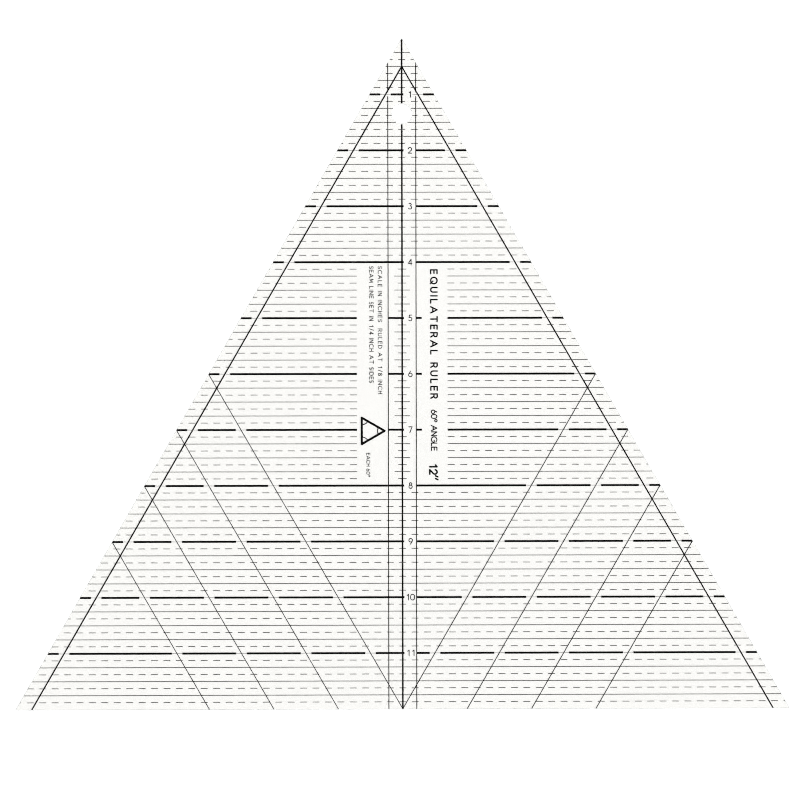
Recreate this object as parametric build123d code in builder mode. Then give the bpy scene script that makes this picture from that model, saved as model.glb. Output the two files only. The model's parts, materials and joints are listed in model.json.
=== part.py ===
from build123d import *

import os
from math import cos, floor, radians, tan

# A 60 degree triangle quilting ruler: one clear acrylic plate, printed in black on its underside.
# It lies flat with the print down. +Z is up, +Y points to the apex, and the origin is the middle
# of the footprint on the surface that the ruler lies on. The scale counts inches from the apex.

INCH = 25.4
SCALE = 12  # inches from the apex to the base
HALF_APEX = radians(30)
SLOPE = tan(HALF_APEX)  # half width gained for each unit of depth

# Plate
HEIGHT = SCALE * INCH
PLATE_T = 3.0
TIP_R = 0.3  # the three sharp corners are only just rounded
EASE = 0.2  # the upper edges are broken by this much
HOLE_R = 4.5
HOLE_DEPTH = 1.35  # inches from the apex to the centre of the hanging hole
PRINT_CLEAR_R = 4.65  # no ink nearer than this to the hole's axis
PRINT_CLEAR_SIDES = 24  # sides of the polygon that the print leaves open round the hole

# Print: line thicknesses in mm
INK_T = 0.03
CENTRE_W = 0.68
SEAM_W = 0.56
BAND_W = 0.36
INCH_W = 0.86
SIXTY_W = 0.32
FINE_W = 0.23
HAIR_W = 0.1

# Print: places in inches
SEAM_APEX = 0.5  # depth where the two seam lines meet, 1/4 inch inside both sides
BAND_X = 0.25
BAND_BREAK = 0.035  # the band lines stop this far each side of the 1 inch line
SIXTY_STARTS = (6, 7, 8, 9)  # depths on the sides where the 60 degree lines start
CROSSING_GAP = 0.19  # opening in an inch line where a slanted line crosses it
INCH_END = 0.03  # the inch lines run this far past the centre line, up to the numeral
PANEL_TOP, PANEL_END = 4, 8  # depths between which the two lettered panels lie
PANEL_X = 0.8125  # outer edge of the panels
STUB_END = 0.35  # short end of an inch line that stands in the right panel
DASH_PITCH = 2 / 9
DASH = 0.122
PANEL_DASH_X = 0.875  # the first dash beside a panel
QUARTER_TICK, EIGHTH_TICK = 0.139, 0.075  # half lengths of the ticks on the centre line
OVERRUN = 0.1  # lines are drawn this far past the plate's edge and trimmed there

# Lettering
NUMERAL_X = 0.146
NUMERAL_H = 2.6
NUMERAL_PEN = 0.32
NUMERAL_TRACKING = 0.2  # space between digits, as a share of their height
PANEL_LINES = {  # text, its height and pen in mm, its baseline and start in inches, its tracking
    "title_lettering": [("EQUILATERAL RULER", 2.9, 0.58, 0.512, 4.14, 0.59)],
    "angle_lettering": [("60° ANGLE", 2.5, 0.42, 0.52, 6.65, 0.21)],
    "size_lettering": [("12″", 3.3, 0.7, 0.49, 7.6, 0.24)],
    "scale_note": [
        ("SCALE IN INCHES  RULED AT 1/8 INCH", 1.75, 0.24, -0.43, 4.08, 0.46),
        ("SEAM LINE SET IN 1/4 INCH AT SIDES", 1.75, 0.24, -0.585, 4.08, 0.4),
        ("EACH 60°", 1.5, 0.22, -0.64, 7.42, 0.3),
    ],
}

# Emblem: a plain triangle with its three equal angles marked
EMBLEM_PLACE = (-0.59, 7.02)
EMBLEM_SIDE = 12.0
EMBLEM_PEN = 0.95
MARK_R = 3.2
MARK_PEN = 0.4

BASE_Y = -(HEIGHT - TIP_R) / 2
APEX_Y = BASE_Y + HEIGHT

os.makedirs("parts", exist_ok=True)


def at(x, depth):
    """The point x inches right of the centre line and depth inches below the apex."""
    return (x * INCH, APEX_Y - depth * INCH)


def half_width(depth):
    return depth * SLOPE


def stripe(start, end, width):
    """A straight line of ink from start to end, both given in inches as (x, depth)."""
    middle = Line(at(*start), at(*end))
    with Locations(middle @ 0.5):
        Rectangle(middle.length, width, rotation=middle.tangent_angle_at(0))


def row(left, right, depth, width):
    """A level line of ink from left to right, in inches, at this depth."""
    stripe((left, depth), (right, depth), width)


def stretches(left, right, gaps):
    """What is left of the run from left to right once the gaps are taken out."""
    kept = []
    for low, high in sorted(gaps):
        if low > left:
            kept.append((left, min(low, right)))
        left = max(left, high)
    if left < right:
        kept.append((left, right))
    return kept


# Letters, each 1 high and drawn with a round pen: the width, then the strokes


def arc(x, y, radius, start, sweep):
    return CenterArc((x, y), radius, start, sweep)


def ring(x, y, radius):
    return [arc(x, y, radius, 90, 180), arc(x, y, radius, 270, 180)]


def run(*points):
    return Polyline(*points) if len(points) > 2 else Line(*points)


LETTERS = {
    " ": (0.25, []),
    "/": (0.4, [run((0, -0.05), (0.4, 1.05))]),
    "°": (0.42, ring(0.21, 0.82, 0.21)),
    "″": (0.52, [run((x + 0.14, 1.1), (x, 0.8)) for x in (0, 0.38)]),
    "0": (0.67, [arc(0.335, 0.665, 0.335, 0, 180), arc(0.335, 0.335, 0.335, 180, 180)]
          + [run((x, 0.335), (x, 0.665)) for x in (0, 0.67)]),
    "1": (0.67, [run((0.26, 0.8), (0.5, 1), (0.5, 0))]),
    "2": (0.6, [arc(0.3, 0.7, 0.3, 165, -207), run((0.523, 0.5), (0, 0), (0.6, 0))]),
    "3": (0.56, [arc(0.28, 0.78, 0.22, 150, -240), arc(0.28, 0.28, 0.28, 90, -245)]),
    "4": (0.64, [run((0.48, 0), (0.48, 1)), run((0.48, 1), (0, 0.27), (0.64, 0.27))]),
    "5": (0.58, [run((0.54, 1), (0.16, 1), (0.08, 0.556)), arc(0.27, 0.31, 0.31, 127.6, -275)]),
    "6": (0.62, ring(0.31, 0.31, 0.31) + [run((0.042, 0.465), (0.35, 1))]),
    "7": (0.58, [run((0, 1), (0.58, 1), (0.18, 0))]),
    "8": (0.56, ring(0.28, 0.78, 0.22) + ring(0.28, 0.28, 0.28)),
    "9": (0.62, ring(0.31, 0.69, 0.31) + [run((0.578, 0.535), (0.27, 0))]),
    "A": (0.96, [run((0, 0), (0.48, 1), (0.96, 0)), run((0.16, 0.33), (0.8, 0.33))]),
    "C": (0.82, [arc(0.5, 0.5, 0.5, 50, 260)]),
    "D": (0.72, [run((0.24, 0), (0, 0), (0, 1), (0.24, 1)), arc(0.24, 0.5, 0.5, -90, 180)]),
    "E": (0.58, [run((0.58, 0), (0, 0), (0, 1), (0.58, 1)), run((0, 0.52), (0.52, 0.52))]),
    "G": (0.92, [arc(0.5, 0.5, 0.5, 45, 315), run((1, 0.5), (0.6, 0.5))]),
    "H": (0.66, [run((x, 0), (x, 1)) for x in (0, 0.66)] + [run((0, 0.52), (0.66, 0.52))]),
    "I": (0, [run((0, 0), (0, 1))]),
    "L": (0.53, [run((0, 1), (0, 0), (0.53, 0))]),
    "M": (0.88, [run((0, 0), (0.1, 1), (0.44, 0.2), (0.78, 1), (0.88, 0))]),
    "N": (0.7, [run((0, 0), (0, 1), (0.7, 0), (0.7, 1))]),
    "Q": (1, ring(0.5, 0.5, 0.5) + [run((0.6, 0.34), (0.98, -0.04))]),
    "R": (0.66, [run((0, 0), (0, 1), (0.36, 1)), arc(0.36, 0.74, 0.26, -90, 180),
                 run((0, 0.48), (0.36, 0.48), (0.66, 0))]),
    "S": (0.5, [arc(0.25, 0.75, 0.25, 30, 240), arc(0.25, 0.25, 0.25, 90, -240)]),
    "T": (0.76, [run((0, 1), (0.76, 1)), run((0.38, 0), (0.38, 1))]),
    "U": (0.72, [arc(0.36, 0.36, 0.36, 180, 180)] + [run((x, 0.36), (x, 1)) for x in (0, 0.72)]),
}


def lettering(text, height, pen, tracking):
    """A line of lettering, its left end on the Y axis and its baseline on the X axis."""
    with BuildSketch() as letters:
        cursor = 0
        for letter in text:
            width, strokes = LETTERS[letter]
            with Locations((cursor, 0)):
                for stroke in strokes:
                    SlotArc(stroke, pen / height)
            cursor += width + tracking
        scale(by=height)
    return letters.sketch


def save(piece, name):
    piece.part.label = name
    export_step(piece.part, f"parts/{name}.step")


def printed(pattern, name):
    """A film of ink as thick as the print, in the outlines of this sketch."""
    with BuildPart() as film:
        add(pattern)
        extrude(amount=INK_T)
    save(film, name)
    return film


# Outline of the plate, and of what may be printed

with BuildSketch() as outline:
    Polygon(
        at(-half_width(SCALE), SCALE),
        at(half_width(SCALE), SCALE),
        at(0, 0),
        align=None,
    )
    fillet(outline.vertices(), TIP_R)

with BuildSketch() as print_area:
    add(outline.sketch)
    with Locations(at(0, HOLE_DEPTH)):
        RegularPolygon(PRINT_CLEAR_R, PRINT_CLEAR_SIDES, major_radius=False, mode=Mode.SUBTRACT)

# Acrylic plate

with BuildPart() as acrylic_plate:
    with BuildSketch(Plane.XY.offset(INK_T)):
        add(outline.sketch)
        with Locations(at(0, HOLE_DEPTH)):
            Circle(HOLE_R, mode=Mode.SUBTRACT)
    extrude(amount=PLATE_T)
    chamfer(acrylic_plate.faces().sort_by(Axis.Z)[-1].edges(), EASE)
save(acrylic_plate, "acrylic_plate")

# Long lines: each one is cut where a line above it in this order crosses it

with BuildSketch() as centre_line:
    stripe((0, -OVERRUN), (0, SCALE + OVERRUN), CENTRE_W)
    add(print_area.sketch, mode=Mode.INTERSECT)
printed(centre_line.sketch, "centre_line")

with BuildSketch() as seam_line:
    reach = SCALE + OVERRUN
    stripe((0, SEAM_APEX), (half_width(reach - SEAM_APEX), reach), SEAM_W)
    add(print_area.sketch, mode=Mode.INTERSECT)
    add(centre_line.sketch, mode=Mode.SUBTRACT)

with BuildSketch() as band_line:
    stripe((BAND_X, 0), (BAND_X, SCALE), BAND_W)
    with Locations(at(BAND_X, 1)):
        Rectangle(2 * BAND_W, 2 * BAND_BREAK * INCH, mode=Mode.SUBTRACT)
    add(print_area.sketch, mode=Mode.INTERSECT)
    add(seam_line.sketch, mode=Mode.SUBTRACT)

with BuildSketch() as upright_lines:
    add(centre_line.sketch)
    for line in (seam_line, band_line):
        add(line.sketch)
        add(mirror(line.sketch, about=Plane.YZ))


# Inch lines


def crossings(depth):
    """Where slanted lines cross the right half of a row at this depth, in inches."""
    sixties = [(2 * start - depth) * SLOPE for start in SIXTY_STARTS if start < depth]
    return [half_width(depth - SEAM_APEX)] + sixties


def openings(depth):
    """The openings that an inch line leaves for the slanted lines that cross it."""
    places = [side * x for x in crossings(depth) for side in (-1, 1)]
    return [(x - CROSSING_GAP / 2, x + CROSSING_GAP / 2) for x in places]


with BuildSketch() as inch_lines:
    for depth in range(1, SCALE):
        reach = half_width(depth) + OVERRUN
        gaps = openings(depth) + [(INCH_END, BAND_X)]
        if PANEL_TOP < depth < PANEL_END:
            gaps += [(-PANEL_X, -BAND_X), (STUB_END, PANEL_X)]
        for left, right in stretches(-reach, reach, gaps):
            row(left, right, depth, INCH_W)
    add(print_area.sketch, mode=Mode.INTERSECT)
    add(upright_lines.sketch, mode=Mode.SUBTRACT)
printed(inch_lines.sketch, "inch_lines")

# 60 degree lines: each leaves one side and runs parallel to the other, down to the base

with BuildSketch() as sixty_lines:
    for start in SIXTY_STARTS:
        end = SCALE + OVERRUN
        stripe((half_width(start), start), ((2 * start - end) * SLOPE, end), SIXTY_W)
    add(print_area.sketch, mode=Mode.INTERSECT)
    add(upright_lines.sketch, mode=Mode.SUBTRACT)
    add(inch_lines.sketch, mode=Mode.SUBTRACT)

with BuildSketch() as long_lines:
    add(upright_lines.sketch)
    add(sixty_lines.sketch)
    add(mirror(sixty_lines.sketch, about=Plane.YZ))

with BuildSketch() as gap_hairlines:
    for depth in range(1, SCALE):
        for left, right in openings(depth):
            row(left, right, depth, HAIR_W)
    add(long_lines.sketch, mode=Mode.SUBTRACT)
printed(gap_hairlines.sketch, "gap_hairlines")

# Rows between the inch lines: the right half is drawn, and the left half mirrors it

with BuildSketch() as quarter_lines:
    for quarter in range(1, 4 * SCALE):
        depth = quarter / 4
        if quarter % 4:
            in_panel = PANEL_TOP < depth < PANEL_END
            row(PANEL_X if in_panel else 0, half_width(depth) + OVERRUN, depth, FINE_W)
    add(print_area.sketch, mode=Mode.INTERSECT)
    add(long_lines.sketch, mode=Mode.SUBTRACT)


def dash_centres(depth):
    """The middles of the dashes in the right half of a row at this depth, in inches."""
    first = PANEL_DASH_X if PANEL_TOP < depth < PANEL_END else 0
    count = floor((half_width(depth) + DASH / 2 - first) / DASH_PITCH) + 1
    return [first + k * DASH_PITCH for k in range(count)]


with BuildSketch() as dashes:
    odd_eighths = [eighth / 8 for eighth in range(3, 8 * SCALE, 2)]
    with Locations(*[at(x, depth) for depth in odd_eighths for x in dash_centres(depth)]):
        Rectangle(DASH * INCH, FINE_W)
    add(print_area.sketch, mode=Mode.INTERSECT)
    add(long_lines.sketch, mode=Mode.SUBTRACT)
    add(split(dashes.sketch, bisect_by=Plane.YZ, mode=Mode.PRIVATE), mode=Mode.REPLACE)

RIGHT_HALVES = {
    "seam_line": seam_line,
    "band_line": band_line,
    "sixty_degree_lines": sixty_lines,
    "quarter_inch_lines": quarter_lines,
    "eighth_inch_dashes": dashes,
}
for name, half in RIGHT_HALVES.items():
    right = printed(half.sketch, f"{name}_right")
    with BuildPart() as left:
        mirror(right.part, about=Plane.YZ)
    save(left, f"{name}_left")

# Ticks that divide the centre line between the two panels

TICKS = {"quarter_inch_ticks": (2, 0, QUARTER_TICK), "eighth_inch_ticks": (2, 1, EIGHTH_TICK)}
for name, (step, first, reach) in TICKS.items():
    with BuildSketch() as ticks:
        for eighth in range(8 * PANEL_TOP + first, 8 * PANEL_END, step):
            if eighth % 8:
                row(-reach, reach, eighth / 8, FINE_W)
        add(centre_line.sketch, mode=Mode.SUBTRACT)
    printed(ticks.sketch, name)

# Numerals on the inch lines

for number in range(1, SCALE):
    digits = lettering(str(number), NUMERAL_H, NUMERAL_PEN, NUMERAL_TRACKING)
    middle = Vector(*at(NUMERAL_X, number)) - digits.bounding_box().center()
    with BuildSketch() as numeral:
        with Locations(middle):
            add(digits)
    printed(numeral.sketch, f"numeral_{number}")

# Lettered panels: the lines read towards the base

for name, lines in PANEL_LINES.items():
    with BuildSketch() as panel:
        for text, height, pen, baseline, start, tracking in lines:
            line = lettering(text, height, pen, tracking)
            with Locations(Location(at(baseline, start), -90)):
                add(line)
    printed(panel.sketch, name)

# Emblem, upright for a reader of the lettering

EMBLEM_R = EMBLEM_SIDE / (2 * cos(HALF_APEX))
with BuildSketch() as emblem:
    with Locations(Location(at(*EMBLEM_PLACE), -90)):
        for turn in (90, 210, 330):
            corner = Vector(EMBLEM_R, 0).rotate(Axis.Z, turn)
            SlotArc(Line(corner, corner.rotate(Axis.Z, 120)), EMBLEM_PEN)
            SlotArc(CenterArc(corner, MARK_R, turn + 150, 60), MARK_PEN)
printed(emblem.sketch, "angle_emblem")
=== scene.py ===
import json
from math import cos, pi, radians, sin, sqrt

import bmesh
import bpy
from mathutils import Euler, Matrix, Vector


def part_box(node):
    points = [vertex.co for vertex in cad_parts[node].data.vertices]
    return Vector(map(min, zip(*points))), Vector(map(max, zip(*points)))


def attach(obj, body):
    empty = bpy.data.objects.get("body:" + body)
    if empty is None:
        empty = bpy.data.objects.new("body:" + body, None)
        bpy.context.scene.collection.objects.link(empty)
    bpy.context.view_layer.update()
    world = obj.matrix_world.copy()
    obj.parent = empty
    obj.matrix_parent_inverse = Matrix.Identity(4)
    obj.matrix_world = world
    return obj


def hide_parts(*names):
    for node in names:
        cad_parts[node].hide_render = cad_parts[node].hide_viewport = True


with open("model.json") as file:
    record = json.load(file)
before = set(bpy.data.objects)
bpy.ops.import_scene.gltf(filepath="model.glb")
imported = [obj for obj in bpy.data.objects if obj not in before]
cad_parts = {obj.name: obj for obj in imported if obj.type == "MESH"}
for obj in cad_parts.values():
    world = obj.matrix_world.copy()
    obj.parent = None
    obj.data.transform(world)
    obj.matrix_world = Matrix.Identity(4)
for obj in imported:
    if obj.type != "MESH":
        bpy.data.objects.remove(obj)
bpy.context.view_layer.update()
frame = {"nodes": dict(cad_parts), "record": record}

# A clear acrylic 60 degree quilting ruler, printed in black on its underside, lying on a white
# table and seen from almost straight above. Everything is in metres, in the frame of the CAD model.

MM = 0.001

# View: looking almost straight down, at a point a little off the middle of the ruler
VIEW_WIDTH = 364.1 * MM
VIEW_AIM = Vector((-1.05, -11.73, 0)) * MM
VIEW_TURN = Euler((radians(-0.31), radians(-0.49), radians(-0.11)))
CAMERA_HEIGHT = 1.2
SENSOR = 36.0
PIXEL_FILTER = 1.0  # narrower than the usual 1.5, so that fine lines stay crisp

# Plate
CORNER_R = 0.3 * MM  # the corners of the triangle
EDGE_R = 0.2 * MM  # the upper edges are rounded by this much
LOWER_EDGE_R = 0.05 * MM
FILM_GAP = 0.002 * MM  # keeps the plate's underside just clear of the ink's upper face
CORNER_STEPS = 10
HOLE_STEPS = 160
ROUND_STEPS = 5

# Acrylic: each cut edge varies from a pale to a dull grey. The grey is partly painted shade: it
# darkens the rim where refraction darkens it in life, and the bore gets paler greys, so less of that
# painted shade.
ACRYLIC_IOR = 1.49
EDGE_CLEARNESS = 0.6
EDGE_GREYS_AND_RIM_SHADE = (0.72, 0.74, 0.73), (0.5, 0.52, 0.51)
HOLE_GREYS = (0.93, 0.94, 0.93), (0.84, 0.86, 0.85)
SCRATCH_RUNS = (0.35, 2600), (1.9, 3400), (2.75, 2100)  # each way in radians, and scratches in a metre
SCRATCH_STRETCH = 90  # how many times longer than wide a scratch is

# Studio
TABLE_HALF = 40.0
TABLE_DROP = 0.1 * MM  # the table is this far below the ruler's underside
KEY_PLACE = (0.6, 1.1, 1.05)
KEY_SIZE = (0.8, 0.5)
KEY_POWER = 2.8
FILL_WAY = (320, 45)  # azimuth and elevation in degrees
FILL_STRENGTH = 3.3
FILL_SPREAD = 50  # degrees


def camera():
    data = bpy.data.cameras.new("camera")
    data.sensor_width = SENSOR
    data.lens = SENSOR * CAMERA_HEIGHT / VIEW_WIDTH
    data.clip_start, data.clip_end = 0.1, 100.0
    made = bpy.data.objects.new("camera", data)
    made.rotation_euler = VIEW_TURN
    made.location = VIEW_AIM + VIEW_TURN.to_matrix() @ Vector((0, 0, CAMERA_HEIGHT))
    bpy.context.scene.collection.objects.link(made)
    bpy.context.scene.camera = made


# Node trees


class Tree:
    """A node tree that is written down as it is read: each call makes one node."""

    def __init__(self, owner):
        owner.use_nodes = True
        self.tree = owner.node_tree
        self.tree.nodes.clear()

    def add(self, kind, inputs=None, **settings):
        """A node. Each input is given a plain value, or an output to link from."""
        made = self.tree.nodes.new("ShaderNode" + kind)
        for name, value in settings.items():
            setattr(made, name, value)
        for name, value in (inputs or {}).items():
            if isinstance(value, bpy.types.NodeSocket):
                self.tree.links.new(value, made.inputs[name])
            else:
                made.inputs[name].default_value = value
        return made

    def mapped(self, scale=(1, 1, 1), turn=0.0):
        """The object's own coordinates in metres, turned about Z and then scaled."""
        place = self.add("TexCoord").outputs["Object"]
        turned = self.add("Mapping", {"Vector": place, "Rotation": (0, 0, turn)}).outputs[0]
        return self.add("VectorMath", {0: turned, 1: scale}, operation="MULTIPLY").outputs[0]

    def noise(self, vector, scale, detail=2.0, roughness=0.5):
        values = {"Vector": vector, "Scale": scale, "Detail": detail, "Roughness": roughness}
        return self.add("TexNoise", values).outputs["Fac"]

    def ranged(self, value, start, end, low, high):
        """value, taken smoothly from the range start to end into low to high."""
        values = {"Value": value, "From Min": start, "From Max": end, "To Min": low, "To Max": high}
        return self.add("MapRange", values, interpolation_type="SMOOTHSTEP").outputs[0]

    def maths(self, operation, first, second):
        return self.add("Math", {0: first, 1: second}, operation=operation).outputs[0]

    def blend(self, share, first, second):
        """The first colour where share is 0, and the second where it is 1."""
        values = {0: share, "A": (*first, 1), "B": (*second, 1)}
        return self.add("Mix", values, data_type="RGBA").outputs["Result"]

    def bump(self, height, depth, under=None):
        values = {"Height": height, "Strength": 1.0, "Distance": depth}
        if under is not None:
            values["Normal"] = under
        return self.add("Bump", values).outputs[0]

    def surface(self, shader):
        self.add("OutputMaterial", {"Surface": shader})


# Materials: the scale of a noise is how many times it varies in a metre


def scratches(tree):
    """Fine straight scratches from cutting mats and storage, running three ways, 0 to 1."""
    total = None
    for turn, pitch in SCRATCH_RUNS:
        streaks = tree.noise(tree.mapped((pitch, pitch / SCRATCH_STRETCH, 1), turn), 1.0, 1.0)
        fine = tree.ranged(streaks, 0.7, 0.78, 0, 1)
        total = fine if total is None else tree.maths("MAXIMUM", total, fine)
    patches = tree.ranged(tree.noise(tree.mapped(), 28), 0.45, 0.68, 0, 1)
    return tree.maths("MULTIPLY", total, patches)


def clear_shader(tree, colour, clearness, roughness, normal):
    """Clear acrylic that lamps shine through with only a faint shadow."""
    values = {
        "Base Color": colour,
        "Transmission Weight": clearness,
        "IOR": ACRYLIC_IOR,
        "Roughness": roughness,
        "Normal": normal,
    }
    acrylic = tree.add("BsdfPrincipled", values).outputs[0]
    passed = tree.add("BsdfTransparent", {"Color": (0.99, 0.99, 0.985, 1)}).outputs[0]
    lamp = tree.add("LightPath").outputs["Is Shadow Ray"]
    return tree.add("MixShader", {0: lamp, 1: acrylic, 2: passed}).outputs[0]


def face_acrylic():
    """Cast faces: very slightly uneven, with faint smears and fine scratches."""
    made = bpy.data.materials.new("acrylic_faces")
    tree = Tree(made)
    marks = scratches(tree)
    smears = tree.ranged(tree.noise(tree.mapped(), 35, 4.0, 0.6), 0.45, 0.75, 0.004, 0.03)
    roughness = tree.maths("ADD", smears, tree.maths("MULTIPLY", marks, 0.05))
    casting = tree.bump(tree.noise(tree.mapped(), 9, 1.0), 0.03 * MM)
    normal = tree.bump(marks, 0.0006 * MM, casting)
    tree.surface(clear_shader(tree, (0.96, 0.955, 0.935, 1), 1.0, roughness, normal))
    return made


def edge_acrylic(name, pale, dull):
    """Cut edges: a soft polish with upright striations, which vary from a pale to a dull grey; the
    overall grey is partly painted shade, standing in for the darkening that refraction gives at the
    rim.
    """
    made = bpy.data.materials.new(name)
    tree = Tree(made)
    fine = tree.noise(tree.mapped((1, 1, 0.06)), 3800)
    broad = tree.noise(tree.mapped((1, 1, 0.15)), 700)
    streaks = tree.ranged(tree.maths("ADD", fine, broad), 0.8, 1.2, 0, 1)
    # striations in grey, held dark enough to act as painted shade along the rim
    tone = tree.blend(streaks, pale, dull)
    roughness = tree.ranged(broad, 0.3, 0.7, 0.09, 0.2)
    normal = tree.bump(fine, 0.02 * MM, tree.bump(broad, 0.03 * MM))
    tree.surface(clear_shader(tree, tone, EDGE_CLEARNESS, roughness, normal))
    return made


def ink():
    """Screen printed black: dense, dull, and mottled by the weave of the screen."""
    made = bpy.data.materials.new("black_ink")
    tree = Tree(made)
    weave = tree.noise(tree.mapped(), 9000, 2.0)
    cloud = tree.noise(tree.mapped(), 900, 3.0)
    shade = tree.ranged(tree.maths("MULTIPLY", weave, cloud), 0.1, 0.45, 0, 1)
    tone = tree.blend(shade, (0.0012, 0.0012, 0.0013), (0.0045, 0.0042, 0.004))
    values = {
        "Base Color": tone,
        "Roughness": tree.ranged(cloud, 0.3, 0.7, 0.42, 0.62),
        "Specular IOR Level": 0.06,
        "Normal": tree.bump(weave, 0.003 * MM),
    }
    tree.surface(tree.add("BsdfPrincipled", values).outputs[0])
    return made


# Plate


def profile(bottom, top):
    """How the edge runs from the underside to the upper face, as (inset, height)."""
    path = []
    for k in range(ROUND_STEPS + 1):
        turn = k / ROUND_STEPS * pi / 2
        path.append((LOWER_EDGE_R * (1 - sin(turn)), bottom + LOWER_EDGE_R * (1 - cos(turn))))
    for k in range(ROUND_STEPS + 1):
        turn = k / ROUND_STEPS * pi / 2
        path.append((EDGE_R * (1 - cos(turn)), top - EDGE_R * (1 - sin(turn))))
    return path


def acrylic_plate(*materials):
    """The plate as one closed shell: materials for its faces, its outer edges and its hole."""
    low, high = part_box("acrylic_plate")
    half = (high.x - low.x) / 2 - CORNER_R
    base = low.y + CORNER_R
    centres = [Vector((half, base)), Vector((0, base + half * sqrt(3))), Vector((-half, base))]
    mounts = {m["name"]: m for m in frame["record"]["mounts"]}
    hole = Vector(mounts["hang_hole"]["pos_m"][:2])
    hole_r = mounts["hang_hole"]["dims"]["r_mm"] * MM
    shell = bmesh.new()

    def corner_ring(inset, height):
        points = []
        for k, centre in enumerate(centres):
            for step in range(CORNER_STEPS + 1):
                turn = radians(-90 + 120 * (k + step / CORNER_STEPS))
                reach = (CORNER_R - inset) * Vector((cos(turn), sin(turn)))
                points.append(shell.verts.new((*(centre + reach), height)))
        return points

    def hole_ring(inset, height):
        points = []
        for step in range(HOLE_STEPS):
            turn = -2 * pi * step / HOLE_STEPS
            reach = (hole_r + inset) * Vector((cos(turn), sin(turn)))
            points.append(shell.verts.new((*(hole + reach), height)))
        return points

    path = profile(low.z + FILM_GAP, high.z)
    rims = []
    for slot, ring in enumerate((corner_ring, hole_ring), start=1):
        rings = [ring(inset, height) for inset, height in path]
        for lower, upper in zip(rings, rings[1:]):
            for k in range(len(lower)):
                face = shell.faces.new((lower[k - 1], lower[k], upper[k], upper[k - 1]))
                face.smooth = True
                face.material_index = slot
        rims.append(rings)
    for end in (0, -1):
        loops = [rings[end] for rings in rims]
        sides = [shell.edges.get((r[k - 1], r[k])) for r in loops for k in range(len(r))]
        up = Vector((0, 0, 1 if end else -1))
        cap = bmesh.ops.triangle_fill(shell, use_beauty=True, edges=sides, normal=up)
        for face in cap["geom"]:
            if isinstance(face, bmesh.types.BMFace):
                face.smooth = False
                face.material_index = 0
    bmesh.ops.recalc_face_normals(shell, faces=shell.faces)
    mesh = bpy.data.meshes.new("clear_plate")
    shell.to_mesh(mesh)
    shell.free()
    for material in materials:
        mesh.materials.append(material)
    made = bpy.data.objects.new("clear_plate", mesh)
    bpy.context.scene.collection.objects.link(made)
    made.visible_diffuse = False
    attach(made, "root")
    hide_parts("acrylic_plate")


def print_film(material):
    """Every printed node keeps its CAD shape and gets the ink's finish."""
    for name, node in frame["nodes"].items():
        if name != "acrylic_plate":
            for place in node.material_slots:
                place.material = material


# Studio


def table():
    """A plain white table, far wider than the picture."""
    mesh = bpy.data.meshes.new("table")
    corners = [(-1, -1), (1, -1), (1, 1), (-1, 1)]
    points = [(x * TABLE_HALF, y * TABLE_HALF, -TABLE_DROP) for x, y in corners]
    mesh.from_pydata(points, [], [(0, 1, 2, 3)])
    made = bpy.data.objects.new("table", mesh)
    material = bpy.data.materials.new("white_table")
    tree = Tree(material)
    values = {"Base Color": (0.9, 0.9, 0.9, 1), "Roughness": 0.9, "Specular IOR Level": 0.0}
    tree.surface(tree.add("BsdfPrincipled", values).outputs[0])
    mesh.materials.append(material)
    bpy.context.scene.collection.objects.link(made)


def surroundings():
    """A white sweep: it meets the table in white, greys above that, and is dark overhead."""
    world = bpy.data.worlds.new("tent")
    bpy.context.scene.world = world
    tree = Tree(world)
    way = tree.add("TexCoord").outputs["Generated"]
    height = tree.add("SeparateXYZ", {0: way}).outputs["Z"]
    foot = tree.ranged(height, 0.0, 0.04, 1.08, 0.86)
    wall = tree.ranged(height, 0.12, 0.35, 1.0, 0.58)
    roof = tree.ranged(height, 0.85, 0.97, 1, 0)
    strength = tree.maths("MULTIPLY", tree.maths("MULTIPLY", foot, wall), roof)
    light = tree.add("Background", {"Color": (1, 1, 1, 1), "Strength": strength})
    tree.add("OutputWorld", {"Surface": light.outputs[0]})


def sun(name, azimuth, elevation, strength, spread):
    """Light from this azimuth and elevation, from a disc spread degrees wide."""
    data = bpy.data.lights.new(name, "SUN")
    data.energy = strength
    data.angle = radians(spread)
    made = bpy.data.objects.new(name, data)
    a, e = radians(azimuth), radians(elevation)
    way = Vector((cos(a) * cos(e), sin(a) * cos(e), sin(e)))
    made.rotation_euler = way.to_track_quat("Z", "Y").to_euler()
    bpy.context.scene.collection.objects.link(made)


def softbox(name, place, power, width, height):
    """A soft panel of light at place, aimed at the middle of the ruler."""
    data = bpy.data.lights.new(name, "AREA")
    data.shape = "RECTANGLE"
    data.size, data.size_y = width, height
    data.energy = power
    made = bpy.data.objects.new(name, data)
    made.location = place
    made.rotation_euler = Vector(place).to_track_quat("Z", "Y").to_euler()
    made.visible_camera = False
    bpy.context.scene.collection.objects.link(made)


camera()
acrylic_plate(
    face_acrylic(),
    edge_acrylic("acrylic_edges", *EDGE_GREYS_AND_RIM_SHADE),
    edge_acrylic("acrylic_bore", *HOLE_GREYS),
)
print_film(ink())
table()
surroundings()
softbox("key", KEY_PLACE, KEY_POWER, *KEY_SIZE)
sun("fill", *FILL_WAY, FILL_STRENGTH, FILL_SPREAD)
bpy.context.scene.view_settings.view_transform = "Standard"
bpy.context.scene.cycles.filter_width = PIXEL_FILTER
